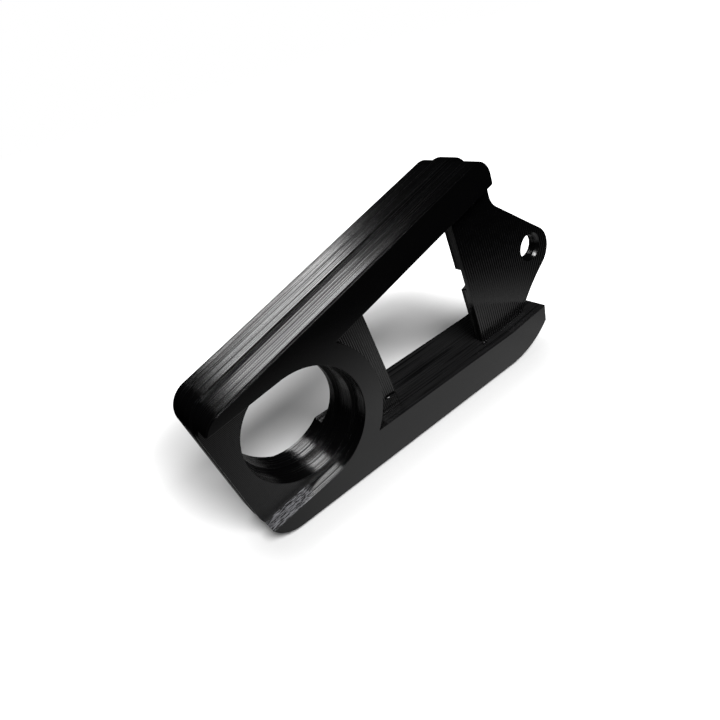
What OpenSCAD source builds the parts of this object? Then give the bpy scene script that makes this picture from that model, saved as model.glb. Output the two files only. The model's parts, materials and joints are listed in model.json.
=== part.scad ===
// Swingarm chain slider: a pivot ring between two rails with the chain track, a set-back web and a bolt lug
// Millimetres, +Z up. The lower rail stands flat on its track.
// The pivot axis is the Y axis. The origin is on it in the floor of the hub recess, where the bore starts.

/* [Body] */
// Depth of the rails along the pivot axis
depth = 20.8; // [19:0.1:24]
// Angle between the upper and the lower rail
rail_angle = 15.7; // [12:0.1:18]
// Distance from the pivot axis up to the upper rail's outer face
upper_reach = 21.7; // [21:0.1:24]
// Distance from the pivot axis down to the lower rail's outer face
lower_reach = 23.8; // [22.5:0.1:26]
// Distance from the pivot axis to the rounded end
end_reach = 21; // [20:0.1:24]
// Radius of the end's upper corner
upper_corner_r = 6.5; // [4:0.1:8]
// Radius of the end's lower corner
lower_corner_r = 8; // [5:0.1:10]

/* [Rails] */
// Thickness of the upper rail
upper_rail_t = 8.3; // [6:0.1:10]
// Thickness of the lower rail
lower_rail_t = 10.7; // [8:0.1:12]
// Thickness of the wall that joins the rails at the rounded end
end_wall_t = 4; // [3:0.1:6]
// Length of the upper rail from the pivot axis to its nose
upper_rail_len = 77.1; // [72:0.1:79]
// Radius of the upper rail's nose
nose_r = 5; // [3:0.1:7]
// Length of the lower rail from the pivot axis to its tip
lower_rail_len = 90.6; // [84:0.1:98]
// Radius of the curve under the lower rail's tip
tip_sweep_r = 26; // [20:0.5:40]
// Height of the tip's blunt end
tip_end_h = 5.2; // [3:0.1:7]
// Rise of the tip's upper face above the rail
tip_rise = 1.4; // [0:0.1:3]
// Length of that rise
tip_rise_len = 16; // [10:0.5:25]

/* [Chain track] */
// Width of the thin lip along the front and the back edge
lip_w = 0.4; // [0.2:0.1:1]
// Height of the running faces above those lips
face_h = 0.5; // [0.3:0.1:1]
// Distance from the front plane to the guide rib
rib_start = 8.8; // [7.5:0.1:10]
// Width of the guide rib
rib_w = 5.4; // [4:0.1:6]
// Height of the guide rib above the running faces
rib_h = 0.9; // [0.6:0.1:1.8]
// Width of the ledge along each foot of the rib
foot_w = 0.5; // [0.3:0.1:0.8]
// Height of that ledge above the running faces
foot_h = 0.4; // [0.2:0.1:0.5]

/* [Pivot ring] */
// Radius of the round end of the front recess
recess_r = 17; // [16.7:0.1:18]
// Depth of the front recess
recess_depth = 4.6; // [3:0.1:6]
// Radius of the pivot bore
bore_r = 16; // [15.6:0.1:16.5]
// Length of the pivot bore
bore_len = 7; // [5:0.1:8]
// Radius of the lip behind the pivot bore
lip_r = 15.2; // [14:0.1:15.5]
// Outer radius of the ring on the front
ring_r = 22.8; // [21:0.1:24]
// Depth of the ring's back face on the pivot axis
hub_depth = 16.6; // [15.5:0.1:18]
// Slope of the ring's back face along the slider
hub_slope = 10.8; // [6:0.1:12]

/* [Plate and lug] */
// Thickness of the plate
plate_t = 3.3; // [3:0.1:5]
// Distance from the pivot axis to the window
window_start = 28.3; // [26:0.1:31]
// Distance from the pivot axis to the web
web_start = 63.6; // [60:0.1:66]
// Distance from the pivot axis to the web's edge under the nose
web_end = 79.5; // [78.5:0.1:82]
// Distance of the lug's round end along the slider's middle line
lug_x = 92.3; // [90:0.1:95]
// Drop of the lug's round end below that line
lug_drop = 6.7; // [5:0.1:8]
// Radius of the lug's round end
lug_r = 7.5; // [7:0.1:9]
// Radius of the lug hole
lug_hole_r = 3.7; // [3.2:0.1:4.3]
// Distance of the lug hole back from the middle of the round end
hole_back = 0.6; // [0:0.1:1.5]
// Height of the lug hole above the middle of the round end
hole_up = 1.9; // [0:0.1:2.2]
// Width of the bevel around the front of the lug hole
hole_bevel = 0.8; // [0.4:0.1:1.2]
// Radius of the corner between the web and the lug
web_corner_r = 6; // [2:0.1:8]
// Radius of the hollow edge between the lug and the lower rail
lug_under_r = 55; // [45:1:70]
// Thickness left at the relief behind the web's edge
relief_floor_t = 1.2; // [0.8:0.1:2]
// Radius of that relief
relief_r = 3.6; // [2:0.1:5]

/* [Hidden] */
$fn = 96;
// The slider's middle line is tilted by half of the rails' angle
tilt = rail_angle / 2;
// How far a cut runs past a face
past = 1;
// How far a piece reaches into the piece that it joins
into = 3;
// Longer than the slider
far = 150;
// A round corner stands this much proud of the sides that it joins
blend = 0.01;
// Share of the running faces' and the rib's height that is left at the rounded end
end_share = 0.25;
// Angles of the outward normals of the sides
upper_normal = 90 + rail_angle;
end_normal = 180 + tilt;
lower_normal = 270;
nose_normal = tilt;
// How far the web's ends run past the rails' inner faces
web_overlap = 1;
// Depths behind the front plane
plate_back = recess_depth + plate_t;
lip_start = recess_depth + bore_len;
rib_back = rib_start + rib_w;
// Distances from the pivot axis to the rails' inner faces
upper_inner = upper_reach - upper_rail_t;
lower_inner = lower_reach - lower_rail_t;
// Height of the lower rail's inner face at the tip
tip_top = tip_rise - lower_inner;
// The lug's upper edge falls at this angle, and its outward normal stands at the same angle
lug_edge_angle = 45;
// Middles of the lug's round end and of its hole, from the pivot axis along the slider's middle line
lug = [lug_x, -lug_drop];
lug_hole = lug + [-hole_back, hole_up];
// Angle on the lug where the hollow edge under it starts, and the height inside the lower rail where it ends
lug_under_start = -61;
lug_under_z = -(lower_inner / cos(tilt) + lower_rail_len * tan(tilt) + web_overlap);
// Height inside the upper rail where the web ends
web_top = upper_inner / cos(tilt) + web_end * tan(tilt) + web_overlap;
// Height of the relief's middle above the slider's middle line
relief_z = 0.8;

// Draws a profile in X and Z as a solid, from one depth behind the front plane to another
module slab(from_y, to_y) {
    translate([0, to_y - recess_depth, 0])
        rotate([90, 0, 0])
            linear_extrude(height = to_y - from_y)
                children();
}

// The point where two lines meet, each given by its normal's angle and its distance from the pivot axis
function meet(a1, d1, a2, d2) =
    [d1 * sin(a2) - d2 * sin(a1), d2 * cos(a1) - d1 * cos(a2)] / sin(a2 - a1);

// A point at a radius and an angle from a centre
function around(centre, r, a) = centre + r * [cos(a), sin(a)];

// Points along an arc
function arc(centre, r, from_a, to_a, steps) =
    [for (i = [0:steps]) around(centre, r, from_a + (to_a - from_a) * i / steps)];

// The outline around both rails and the rounded end, grown outwards at the rails and less at the end
module outline_side(grow) {
    up = upper_reach + grow;
    low = lower_reach + grow;
    left = end_reach + grow * end_share;
    nose = upper_rail_len + grow;
    tip = lower_rail_len + grow;
    upper_r = upper_corner_r + grow;
    lower_r = lower_corner_r + grow;
    round_r = nose_r + grow;
    sweep_r = tip_sweep_r + grow;
    upper_c = meet(upper_normal, up - upper_r, end_normal, left - upper_r);
    lower_c = meet(end_normal, left - lower_r, lower_normal, low - lower_r);
    nose_c = meet(upper_normal, up - round_r, nose_normal, nose - round_r);
    sweep_h = tip_top - tip_end_h + low;
    sweep_x = lower_rail_len - sqrt(sweep_h * (2 * tip_sweep_r - sweep_h));
    difference() {
        union() {
            polygon([
                around(upper_c, upper_r, upper_normal),
                upper_c,
                around(upper_c, upper_r, end_normal),
                around(lower_c, lower_r, end_normal),
                lower_c,
                around(lower_c, lower_r, lower_normal),
                [tip, -low],
                [tip, tip_top + into],
                meet(nose_normal, nose, upper_normal, upper_inner - into),
                around(nose_c, round_r, nose_normal),
                nose_c,
                around(nose_c, round_r, upper_normal)
            ]);
            translate(upper_c) circle(r = upper_r + blend);
            translate(lower_c) circle(r = lower_r + blend);
            translate(nose_c) circle(r = round_r + blend);
        }
        difference() {
            translate([sweep_x, -low - past]) square([far, sweep_r + past]);
            translate([sweep_x, sweep_r - low]) circle(r = sweep_r + blend, $fn = 240);
        }
    }
}

// The space between the rails, from the end wall to past the tip
module opening_side() {
    start = end_wall_t - end_reach;
    polygon([
        meet(nose_normal, start, upper_normal, upper_inner),
        meet(nose_normal, start, lower_normal, lower_inner),
        [lower_rail_len - tip_rise_len, -lower_inner],
        [lower_rail_len, tip_top],
        [far, tip_top],
        meet(nose_normal, far, upper_normal, upper_inner)
    ]);
}

// Everything on the end's side of a line across the slider
module end_part(to_x) {
    rotate(tilt) translate([-far, -far]) square([far + to_x, 2 * far]);
}

// The block before anything is taken out, with the running faces and the guide rib around it
module block() {
    slab(0, depth) outline_side(0);
    slab(lip_w, depth - lip_w) outline_side(face_h);
    slab(rib_start - foot_w, rib_back + foot_w) outline_side(face_h + foot_h);
    slab(rib_start, rib_back) outline_side(face_h + rib_h);
}

// The window through the slider, the space around the ring and the front recess
module hollows() {
    slab(-past, depth + past) difference() {
        opening_side();
        end_part(window_start);
    }
    slab(-past, recess_depth) difference() {
        opening_side();
        end_part(0);
        circle(r = ring_r);
    }
    slab(-past, recess_depth) {
        circle(r = recess_r);
        rotate(tilt) translate([-far, blend - recess_r]) square([far, 2 * (recess_r - blend)]);
    }
}

// The space behind the ring's sloping back face
module back_space() {
    intersection() {
        slab(plate_back, depth + past) {
            opening_side();
            circle(r = recess_r);
        }
        rotate([0, -tilt, 0])
            translate([0, hub_depth - recess_depth, 0])
                rotate([0, 0, -hub_slope])
                    translate([-far, 0, -far])
                        cube([2 * far, far, 2 * far]);
    }
}

// The web between the rails, with the edge that runs down to the lug and the hollow edge under it
module web_side() {
    edge_top = around(lug, lug_r, lug_edge_angle);
    corner_z = edge_top[0] + edge_top[1] - web_end + web_corner_r * tan(lug_edge_angle / 2);
    corner_c = [web_end + web_corner_r, corner_z];
    under_c = around(lug, lug_r + lug_under_r, lug_under_start);
    under_span = lug_under_start + asin((lug_under_z - under_c[1]) / lug_under_r);
    rotate(tilt)
        polygon(concat(
            [[web_start, web_top], [web_end, web_top]],
            arc(corner_c, web_corner_r, 180, 180 + lug_edge_angle, 4),
            [edge_top],
            arc(under_c, lug_under_r, 180 + lug_under_start, 180 + lug_under_start - under_span, 10),
            [[web_start, lug_under_z]]
        ));
}

// The web with its lug, set back between the rails
module web() {
    difference() {
        union() {
            slab(recess_depth, plate_back) web_side();
            slab(recess_depth, plate_back) rotate(tilt) translate(lug) circle(r = lug_r + blend);
        }
        slab(0, depth) rotate(tilt) translate(lug_hole) circle(r = lug_hole_r);
        rotate([0, -tilt, 0])
            translate([lug_hole[0], hole_bevel, lug_hole[1]])
                rotate([90, 0, 0])
                    cylinder(h = hole_bevel + past, r1 = lug_hole_r, r2 = lug_hole_r + hole_bevel + past);
        // The relief behind the web's edge
        slab(recess_depth + relief_floor_t, plate_back + past)
            rotate(tilt) translate([web_start, relief_z]) circle(r = relief_r);
    }
}

module slider_body() {
    color([0.03, 0.03, 0.032]) {
        difference() {
            block();
            hollows();
            back_space();
            slab(-past, lip_start) circle(r = bore_r);
            slab(-past, depth + past) circle(r = lip_r);
        }
        web();
    }
}

slider_body();
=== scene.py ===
import json
import math

import bpy
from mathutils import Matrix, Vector

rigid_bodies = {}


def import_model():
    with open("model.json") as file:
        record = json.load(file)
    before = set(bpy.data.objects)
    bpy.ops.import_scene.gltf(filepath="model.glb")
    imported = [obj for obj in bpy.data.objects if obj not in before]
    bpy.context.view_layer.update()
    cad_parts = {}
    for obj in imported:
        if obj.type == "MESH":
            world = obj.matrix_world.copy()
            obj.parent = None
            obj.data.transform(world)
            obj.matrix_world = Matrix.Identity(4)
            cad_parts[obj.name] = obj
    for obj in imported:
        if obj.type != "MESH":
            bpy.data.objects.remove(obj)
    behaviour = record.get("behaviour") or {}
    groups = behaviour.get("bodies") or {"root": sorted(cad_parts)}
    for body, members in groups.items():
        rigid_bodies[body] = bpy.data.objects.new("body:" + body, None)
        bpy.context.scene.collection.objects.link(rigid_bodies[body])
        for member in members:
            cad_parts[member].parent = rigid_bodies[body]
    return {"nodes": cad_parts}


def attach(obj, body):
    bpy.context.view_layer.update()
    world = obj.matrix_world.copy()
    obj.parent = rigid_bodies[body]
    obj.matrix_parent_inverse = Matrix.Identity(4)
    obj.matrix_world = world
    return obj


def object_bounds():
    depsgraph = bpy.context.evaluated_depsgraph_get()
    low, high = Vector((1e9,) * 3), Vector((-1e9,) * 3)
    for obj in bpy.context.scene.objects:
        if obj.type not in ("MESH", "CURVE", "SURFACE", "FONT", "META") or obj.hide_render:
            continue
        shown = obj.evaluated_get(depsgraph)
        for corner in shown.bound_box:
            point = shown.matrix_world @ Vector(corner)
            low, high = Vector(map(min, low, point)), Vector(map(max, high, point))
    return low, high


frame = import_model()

cadLow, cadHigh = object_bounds()  # the CAD model's box
mmPerMetre = 1000.0
mm = 1 / mmPerMetre
floorHeight = cadLow.z  # the slider rests on the guide rib under its lower rail
faceOn = 0.9  # a face counts as turned along an axis when its normal is at least this far along it
print("frame loaded:", ", ".join(frame["nodes"]))


# A shader socket that Python's operators work on
class Field:
    def __init__(self, finish, socket):
        self.finish = finish
        self.socket = socket

    def math(self, operation, *others):
        return self.finish.add("ShaderNodeMath", {"operation": operation}, [self, *others])

    def __add__(self, other):
        return self.math("ADD", other)

    __radd__ = __add__

    def __sub__(self, other):
        return self.math("SUBTRACT", other)

    def __rsub__(self, other):
        return self.finish.add("ShaderNodeMath", {"operation": "SUBTRACT"}, [other, self])

    def __mul__(self, other):
        return self.math("MULTIPLY", other)

    __rmul__ = __mul__

    def __truediv__(self, other):
        return self.math("DIVIDE", other)

    def __lt__(self, other):
        return self.math("LESS_THAN", other)

    def __gt__(self, other):
        return self.math("GREATER_THAN", other)

    def __abs__(self):
        return self.math("ABSOLUTE")


# The node tree of a material or of the world
class Finish:
    def __init__(self, holder):
        self.holder = holder
        holder.use_nodes = True
        self.tree = holder.node_tree
        self.tree.nodes.clear()

    # Settings come first, then socket values or links, by place or by name
    def add(self, kind, settings=None, inputs=(), output=0):
        node = self.tree.nodes.new(kind)
        for key, value in (settings or {}).items():
            setattr(node, key, value)
        pairs = inputs.items() if isinstance(inputs, dict) else enumerate(inputs)
        for key, value in pairs:
            if isinstance(value, Field):
                self.tree.links.new(value.socket, node.inputs[key])
            else:
                node.inputs[key].default_value = value
        return node if output is None else Field(self, node.outputs[output])

    def split(self, vector):
        parts = self.add("ShaderNodeSeparateXYZ", inputs=[vector], output=None)
        return [Field(self, parts.outputs[i]) for i in range(3)]

    def place(self):  # the object's own coordinates, in metres
        return self.add("ShaderNodeTexCoord", output="Object")

    def facing(self):  # the flat normal of each face
        return self.split(self.add("ShaderNodeNewGeometry", output="True Normal"))

    def noise(self, vector, scale, detail=2.0, roughness=0.5):
        return self.add("ShaderNodeTexNoise", None, {
            "Vector": vector, "Scale": scale, "Detail": detail, "Roughness": roughness})

    def vector(self, x, y, z):
        return self.add("ShaderNodeCombineXYZ", inputs=[x, y, z])

    def smooth(self, value, low, high):  # 0 below low, 1 above high
        return self.add("ShaderNodeMapRange", {"interpolation_type": "SMOOTHSTEP"}, {
            "Value": value, "From Min": low, "From Max": high})

    def blend(self, mask, first, second):  # colours, through Mix
        return self.add("ShaderNodeMix", {"data_type": "RGBA"}, {"Factor": mask, "A": first, "B": second}, 2)

    def bead(self, across, width):  # height of printed lines side by side, 0 in the groove and 1 on the crest
        part = (across / width).math("FRACT") * 2.0 - 1.0
        return 1.0 - part * part

    def bump(self, height, **inputs):  # height in mm
        return self.add("ShaderNodeBump", None, {"Height": height, "Distance": mm, "Strength": 1.0, **inputs})

    def shade(self, surface, kind="ShaderNodeOutputMaterial"):
        self.add(kind, inputs=[surface], output=None)
        return self.holder


# Printed black plastic: layers are stacked along the pivot axis, and the flat faces show the nozzle's lines.
# Lengths are in mm. Noise on the walls runs slowly along them and fast across the layers.
sliderBody = {
    "node": "slider_body",
    "colour": (0.0012, 0.0012, 0.0013, 1.0),
    "ior": 1.5,
    "roughness": 0.1,
    "patchRoughness": 0.08,
    "patches": {"scale": 120.0, "detail": 3.0, "roughness": 0.6},
    "grainDepth": 0.0006,
    "grain": {"scale": 2500.0, "detail": 2.0, "roughness": 0.6},
    "edgeRadius": 0.08,
    "tilt": 7.85,  # the middle line's angle above the lower rail
    "walls": {
        "layer": 0.2,
        "layerDepth": 0.004,
        "streakDepth": 0.042,  # how far single layers stand out
        "wideStreaks": {"run": 0.006, "stack": 0.9, "detail": 3.0, "roughness": 0.75},
        "fineStreaks": {"run": 0.012, "stack": 4.2, "detail": 2.0, "roughness": 0.7},
        "fineShare": 0.5,
        "fineShow": (0.42, 0.62),
        "fineDull": 0.5,
        "grooves": {"run": 0.008, "stack": 1.7, "detail": 1.0, "roughness": 0.5, "shift": 9.0},
        "grooveShow": (0.55, 0.6),
        "grooveDepth": 0.03,
        "grooveDull": 0.65,
        "rippleDepth": 0.004,
        "ripple": {"run": 1.4, "stack": 0.25, "detail": 2.0, "roughness": 0.5},
    },
    "matt": {"Roughness": 0.35, "IOR": 1.12},  # the plastic in the grooves
    "lines": {
        "webFrom": 62.6,  # where the web and the shelf begin along the middle line
        "shelfFrom": 18.0,
        "web": {"width": 0.88, "depth": 0.15},
        "shelf": {"width": 0.62, "depth": 0.105},
        "floor": {"width": 0.42, "depth": 0.03},
        "levelSpan": 0.3,  # the lines show on the faces this near to the recess floor's level
        "start": 100.0,
        "wobble": 0.25,
        "wobbleScale": 0.35,
        "waveDepth": 0.004,
        "wave": {"scale": 0.9, "detail": 3.0, "roughness": 0.6},
    },
    "ledgeGlint": {  # painted highlight: light streaks on the ledge under the open slot stand in for the window lamp's glint on the printed lines
        "span": (-24.5, -5.5),
        "fade": (1.0, 3.0),
        "level": (-17.2, -16.9),
        "streaks": {"run": 0.45, "stack": 2.6, "detail": 3.0, "roughness": 0.75},
        "show": (0.42, 0.6),
        "colour": (0.16, 0.16, 0.17, 1.0),
        "roughness": 0.3,
    },
    "innerSheen": {  # painted sheen: grey streaks on the lower rail's inner face stand in for its spotted highlights
        "below": -10.0,
        "from": 20.0,
        "streaks": {"run": 0.03, "stack": 2.2, "detail": 3.0, "roughness": 0.75},
        "show": (0.35, 0.55),
        "colour": (0.009, 0.009, 0.0092, 1.0),
    },
}


def printedPlastic(size):
    paint = Finish(bpy.data.materials.new("printed_black_plastic"))
    spot = paint.place()
    x, y, z = [part * mmPerMetre for part in paint.split(spot)]
    ny, nz = paint.facing()[1:]
    tilt = math.radians(size["tilt"])
    along = x * math.cos(tilt) + z * math.sin(tilt)
    across = z * math.cos(tilt) - x * math.sin(tilt)
    flat = abs(ny) > faceOn
    wall = 1.0 - flat

    def layered(run, stack, detail, roughness, shift=0.0):
        return paint.noise(paint.vector(x * run, y * stack + shift, z * run), 1.0, detail, roughness)

    # Walls: one line for each layer, single layers that stand out, and grooves between some of them
    walls = size["walls"]
    layers = paint.bead(y, walls["layer"]) * walls["layerDepth"]
    fine = layered(**walls["fineStreaks"])
    streaks = (layered(**walls["wideStreaks"]) + fine * walls["fineShare"]) * walls["streakDepth"]
    grooves = paint.smooth(layered(**walls["grooves"]), *walls["grooveShow"])
    ripple = layered(**walls["ripple"]) * walls["rippleDepth"]
    wallHeight = layers + streaks + ripple - grooves * walls["grooveDepth"]
    dull = grooves * walls["grooveDull"] + paint.smooth(fine, *walls["fineShow"]) * walls["fineDull"]

    # Flat faces: lines along the middle line on the recess floor, and across it on the shelf and the web
    lines = size["lines"]
    whole = paint.vector(x, y, z)
    start = paint.noise(whole, lines["wobbleScale"]) * lines["wobble"] + lines["start"]
    onWeb = along > lines["webFrom"]
    onShelf = (along > lines["shelfFrom"]) * (1.0 - onWeb)
    onFloor = 1.0 - onWeb - onShelf

    def printedLines(way, width, depth):
        return paint.bead(way + start, width) * depth

    setBack = (printedLines(along, **lines["web"]) * onWeb + printedLines(along, **lines["shelf"]) * onShelf
               + printedLines(across, **lines["floor"]) * onFloor)
    wave = paint.noise(whole, **lines["wave"]) * lines["waveDepth"]
    flatHeight = setBack * (abs(y) < lines["levelSpan"]) + wave

    grain = paint.noise(spot, **size["grain"]) * size["grainDepth"]
    soft = paint.add("ShaderNodeBevel", {"samples": 6}, {"Radius": size["edgeRadius"] * mm})
    bump = paint.bump(wallHeight * wall + flatHeight * flat + grain, Normal=soft)

    # The painted highlight streaks on the ledge, and the painted sheen streaks inside the lower rail
    ledgeGlint, innerSheen = size["ledgeGlint"], size["innerSheen"]
    (low, high), (fadeIn, fadeOut), (bottom, top) = ledgeGlint["span"], ledgeGlint["fade"], ledgeGlint["level"]
    onLedge = wall * (across > bottom) * (across < top) * (y < 0.0)
    ends = paint.smooth(along, low - fadeIn, low) * (1.0 - paint.smooth(along, high - fadeOut, high))
    # Painted highlight: a light grey colour in streaks on the ledge, in place of the lamp's glint
    paintedGlint = onLedge * ends * paint.smooth(layered(**ledgeGlint["streaks"]), *ledgeGlint["show"])
    # Painted sheen: lighter grey streaks on the upward inner face of the lower rail
    inside = (nz > faceOn) * (z < innerSheen["below"]) * (along > innerSheen["from"])
    paintedSheen = inside * paint.smooth(layered(**innerSheen["streaks"]), *innerSheen["show"])
    colour = paint.blend(paintedSheen, size["colour"], innerSheen["colour"])
    colour = paint.blend(paintedGlint, colour, ledgeGlint["colour"])

    patches = paint.noise(spot, **size["patches"]) * size["patchRoughness"]
    rough = patches + size["roughness"] + paintedGlint * ledgeGlint["roughness"]
    gloss = paint.add("ShaderNodeBsdfPrincipled", None, {
        "Base Color": colour, "Roughness": rough, "IOR": size["ior"], "Normal": bump})
    matt = paint.add("ShaderNodeBsdfPrincipled", None, {"Base Color": colour, "Normal": bump, **size["matt"]})
    return paint.shade(paint.add("ShaderNodeMixShader", None, [wall * dull, gloss, matt]))


body = frame["nodes"][sliderBody["node"]]
for materialSlot in body.material_slots:
    materialSlot.material = printedPlastic(sliderBody)
print("slider body: printed plastic")


# Strings and a blob that the printer left behind, each with its path through points and its radius, in mm
leftovers = {
    "string_under_nose": {
        "path": [(66.4, -4.0, 32.2), (67.0, -3.0, 31.9), (67.9, -2.0, 31.0), (69.0, -0.2, 29.7)],
        "radius": 0.22,
    },
    "blob_on_shelf": {
        "path": [(25.8, -0.1, -8.9), (26.6, -0.4, -9.0), (28.0, -0.5, -9.1), (29.4, -0.1, -8.75)],
        "radius": 0.4,
    },
    "string_at_web_foot": {
        "path": [(64.6, -1.2, -13.1), (65.1, -1.0, -12.5), (65.7, -0.8, -12.4), (66.2, -1.3, -13.0)],
        "radius": 0.22,
    },
}
melted = {
    "sides": 8,
    "endShare": 0.4,  # the radius at a string's ends, as a share of the rest
    "lumps": {"scale": 1500.0, "detail": 2.0, "roughness": 0.6},
    "lumpDepth": 0.03,
    "lumpRoughness": 0.1,
}


def meltedPlastic(size):
    paint = Finish(bpy.data.materials.new("melted_black_plastic"))
    lumps = paint.noise(paint.place(), **size["lumps"])
    return paint.shade(paint.add("ShaderNodeBsdfPrincipled", None, {
        "Base Color": sliderBody["colour"],
        "Roughness": lumps * size["lumpRoughness"] + sliderBody["roughness"],
        "Normal": paint.bump(lumps * size["lumpDepth"]),
    }))


# A closed thread: one ring of corners at each point of the path, with a smaller one at each end
def threadMesh(name, path, radius, sides):
    points = [Vector(p) * mm for p in path]
    last = len(points) - 1
    corners, faces, across = [], [], None
    for i, point in enumerate(points):
        heading = (points[min(i + 1, last)] - points[max(i - 1, 0)]).normalized()
        if across is None:
            across = heading.orthogonal().normalized()
        else:
            across = (across - heading * across.dot(heading)).normalized()
        beside = heading.cross(across)
        girth = radius * mm * (melted["endShare"] if i in (0, last) else 1.0)
        for k in range(sides):
            turn = 2 * math.pi * k / sides
            corners.append(point + (across * math.cos(turn) + beside * math.sin(turn)) * girth)
    for i in range(last):
        for k in range(sides):
            a, b = i * sides + k, i * sides + (k + 1) % sides
            faces.append((a, b, b + sides, a + sides))
    faces.append(tuple(reversed(range(sides))))
    faces.append(tuple(range(last * sides, (last + 1) * sides)))
    mesh = bpy.data.meshes.new(name)
    mesh.from_pydata(corners, [], faces)
    mesh.polygons.foreach_set("use_smooth", [True] * len(mesh.polygons))
    return mesh


def addObject(name, data):
    thing = bpy.data.objects.new(name, data)
    bpy.context.collection.objects.link(thing)
    return thing


meltedMaterial = meltedPlastic(melted)
for leftoverName, leftover in leftovers.items():
    thread = threadMesh(leftoverName, sides=melted["sides"], **leftover)
    thread.materials.append(meltedMaterial)
    piece = addObject(leftoverName, thread)
    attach(piece, "root")
print("strings and blob:", len(leftovers))


# The studio: a white sheet that the slider rests on, a window in front and a softbox behind.
# The camera sees the sheet white away from the shadow, where a glow that only the camera sees is added. The
# slider only reflects a painted pool of light on the sheet close by, which darkens further off.
studio = {
    "sheetLow": (-1.2, -0.8),
    "sheetHigh": (1.6, 2.2),
    "sheetWhite": 0.74,
    "shadeLow": (-10.0, 5.0),  # the shadow lies in this part of the floor, mm
    "shadeHigh": (75.0, 60.0),
    "farLift": 1.0,
    "farFade": (8.0, 50.0),
    "paintedPoolWhite": 0.52,
    "paintedPoolLow": (20.0, -10.0),  # the painted pool of light that the slider reflects lies around this part of the floor, mm
    "paintedPoolHigh": (70.0, 20.0),
    "paintedPoolFade": (5.0, 82.0),
    "surround": 0.002,
    "lamps": {
        "softboxBehind": {"at": (0.057, 0.485, 0.388), "size": (0.23, 0.2), "power": 1.15},
        "windowInFront": {"at": (0.01, -0.425, 0.5), "size": (0.4, 0.25), "power": 7.1},
    },
    "aim": (0.035, 0.0, 0.0),
}


def whiteSheet(settings):
    paint = Finish(bpy.data.materials.new("white_sheet"))
    seen = paint.add("ShaderNodeLightPath", output="Is Camera Ray")
    x, y = [part * mmPerMetre for part in paint.split(paint.place())[:2]]

    def beyond(low, high):  # distance outside a rectangle on the floor
        offX = (abs(x - (low[0] + high[0]) / 2) - (high[0] - low[0]) / 2).math("MAXIMUM", 0.0)
        offY = (abs(y - (low[1] + high[1]) / 2) - (high[1] - low[1]) / 2).math("MAXIMUM", 0.0)
        return (offX * offX + offY * offY).math("SQRT")

    # Painted pool of light: rays other than the camera's see the sheet bright near the slider and dark
    # further off
    paintedPool = 1.0 - paint.smooth(beyond(settings["paintedPoolLow"], settings["paintedPoolHigh"]), *settings["paintedPoolFade"])
    far = paint.smooth(beyond(settings["shadeLow"], settings["shadeHigh"]), *settings["farFade"])
    white = (seen * settings["sheetWhite"]).math("MAXIMUM", paintedPool * settings["paintedPoolWhite"])
    grey = paint.add("ShaderNodeCombineColor", inputs=[white] * 3)
    plain = paint.add("ShaderNodeBsdfDiffuse", None, {"Color": grey})
    # A glow that only the camera sees lifts the sheet to white away from the shadow
    lift = paint.add("ShaderNodeEmission", None, {"Strength": seen * far * settings["farLift"]})
    return paint.shade(paint.add("ShaderNodeAddShader", inputs=[plain, lift]))


def buildSheet(settings):
    (x0, y0), (x1, y1) = settings["sheetLow"], settings["sheetHigh"]
    corners = [(x, y, floorHeight) for x, y in ((x0, y0), (x1, y0), (x1, y1), (x0, y1))]
    mesh = bpy.data.meshes.new("white_sheet")
    mesh.from_pydata(corners, [], [(0, 1, 2, 3)])
    mesh.materials.append(whiteSheet(settings))
    addObject("white_sheet", mesh)


def buildWorld(settings):
    paint = Finish(bpy.data.worlds.new("studio"))
    seen = paint.add("ShaderNodeLightPath", output="Is Camera Ray")
    around = paint.add("ShaderNodeBackground", None, {"Strength": settings["surround"]})
    white = paint.add("ShaderNodeBackground", None, {"Color": (1.0, 1.0, 1.0, 1.0), "Strength": 1.0})
    surface = paint.add("ShaderNodeMixShader", inputs=[seen, around, white])
    bpy.context.scene.world = paint.shade(surface, "ShaderNodeOutputWorld")


def buildLamp(name, at, size, power, aim):
    data = bpy.data.lights.new(name, "AREA")
    data.shape = "RECTANGLE"
    data.size, data.size_y = size
    data.energy = power
    lamp = addObject(name, data)
    lamp.location = at
    lamp.rotation_mode = "QUATERNION"
    lamp.rotation_quaternion = (Vector(at) - Vector(aim)).to_track_quat("Z", "Y")
    lamp.visible_camera = False


buildSheet(studio)
buildWorld(studio)
for lampName, lampSettings in studio["lamps"].items():
    buildLamp(lampName, aim=studio["aim"], **lampSettings)
print("studio: sheet and", len(studio["lamps"]), "lamps")


# The camera at the photograph's angle
view = {
    "at": (-0.037475, -0.104711, 0.079729),
    "turn": (57.6346, 14.025, -38.1938),
    "lens": 27.19,
    "sensor": 36.0,
    "nearest": 0.001,
}


def buildCamera(settings):
    data = bpy.data.cameras.new("photo_camera")
    data.lens = settings["lens"]
    data.sensor_width = settings["sensor"]
    data.clip_start = settings["nearest"]
    camera = addObject("photo_camera", data)
    camera.location = settings["at"]
    camera.rotation_euler = [math.radians(angle) for angle in settings["turn"]]
    bpy.context.scene.camera = camera


buildCamera(view)
bpy.context.scene.view_settings.view_transform = "Standard"
print("camera placed")
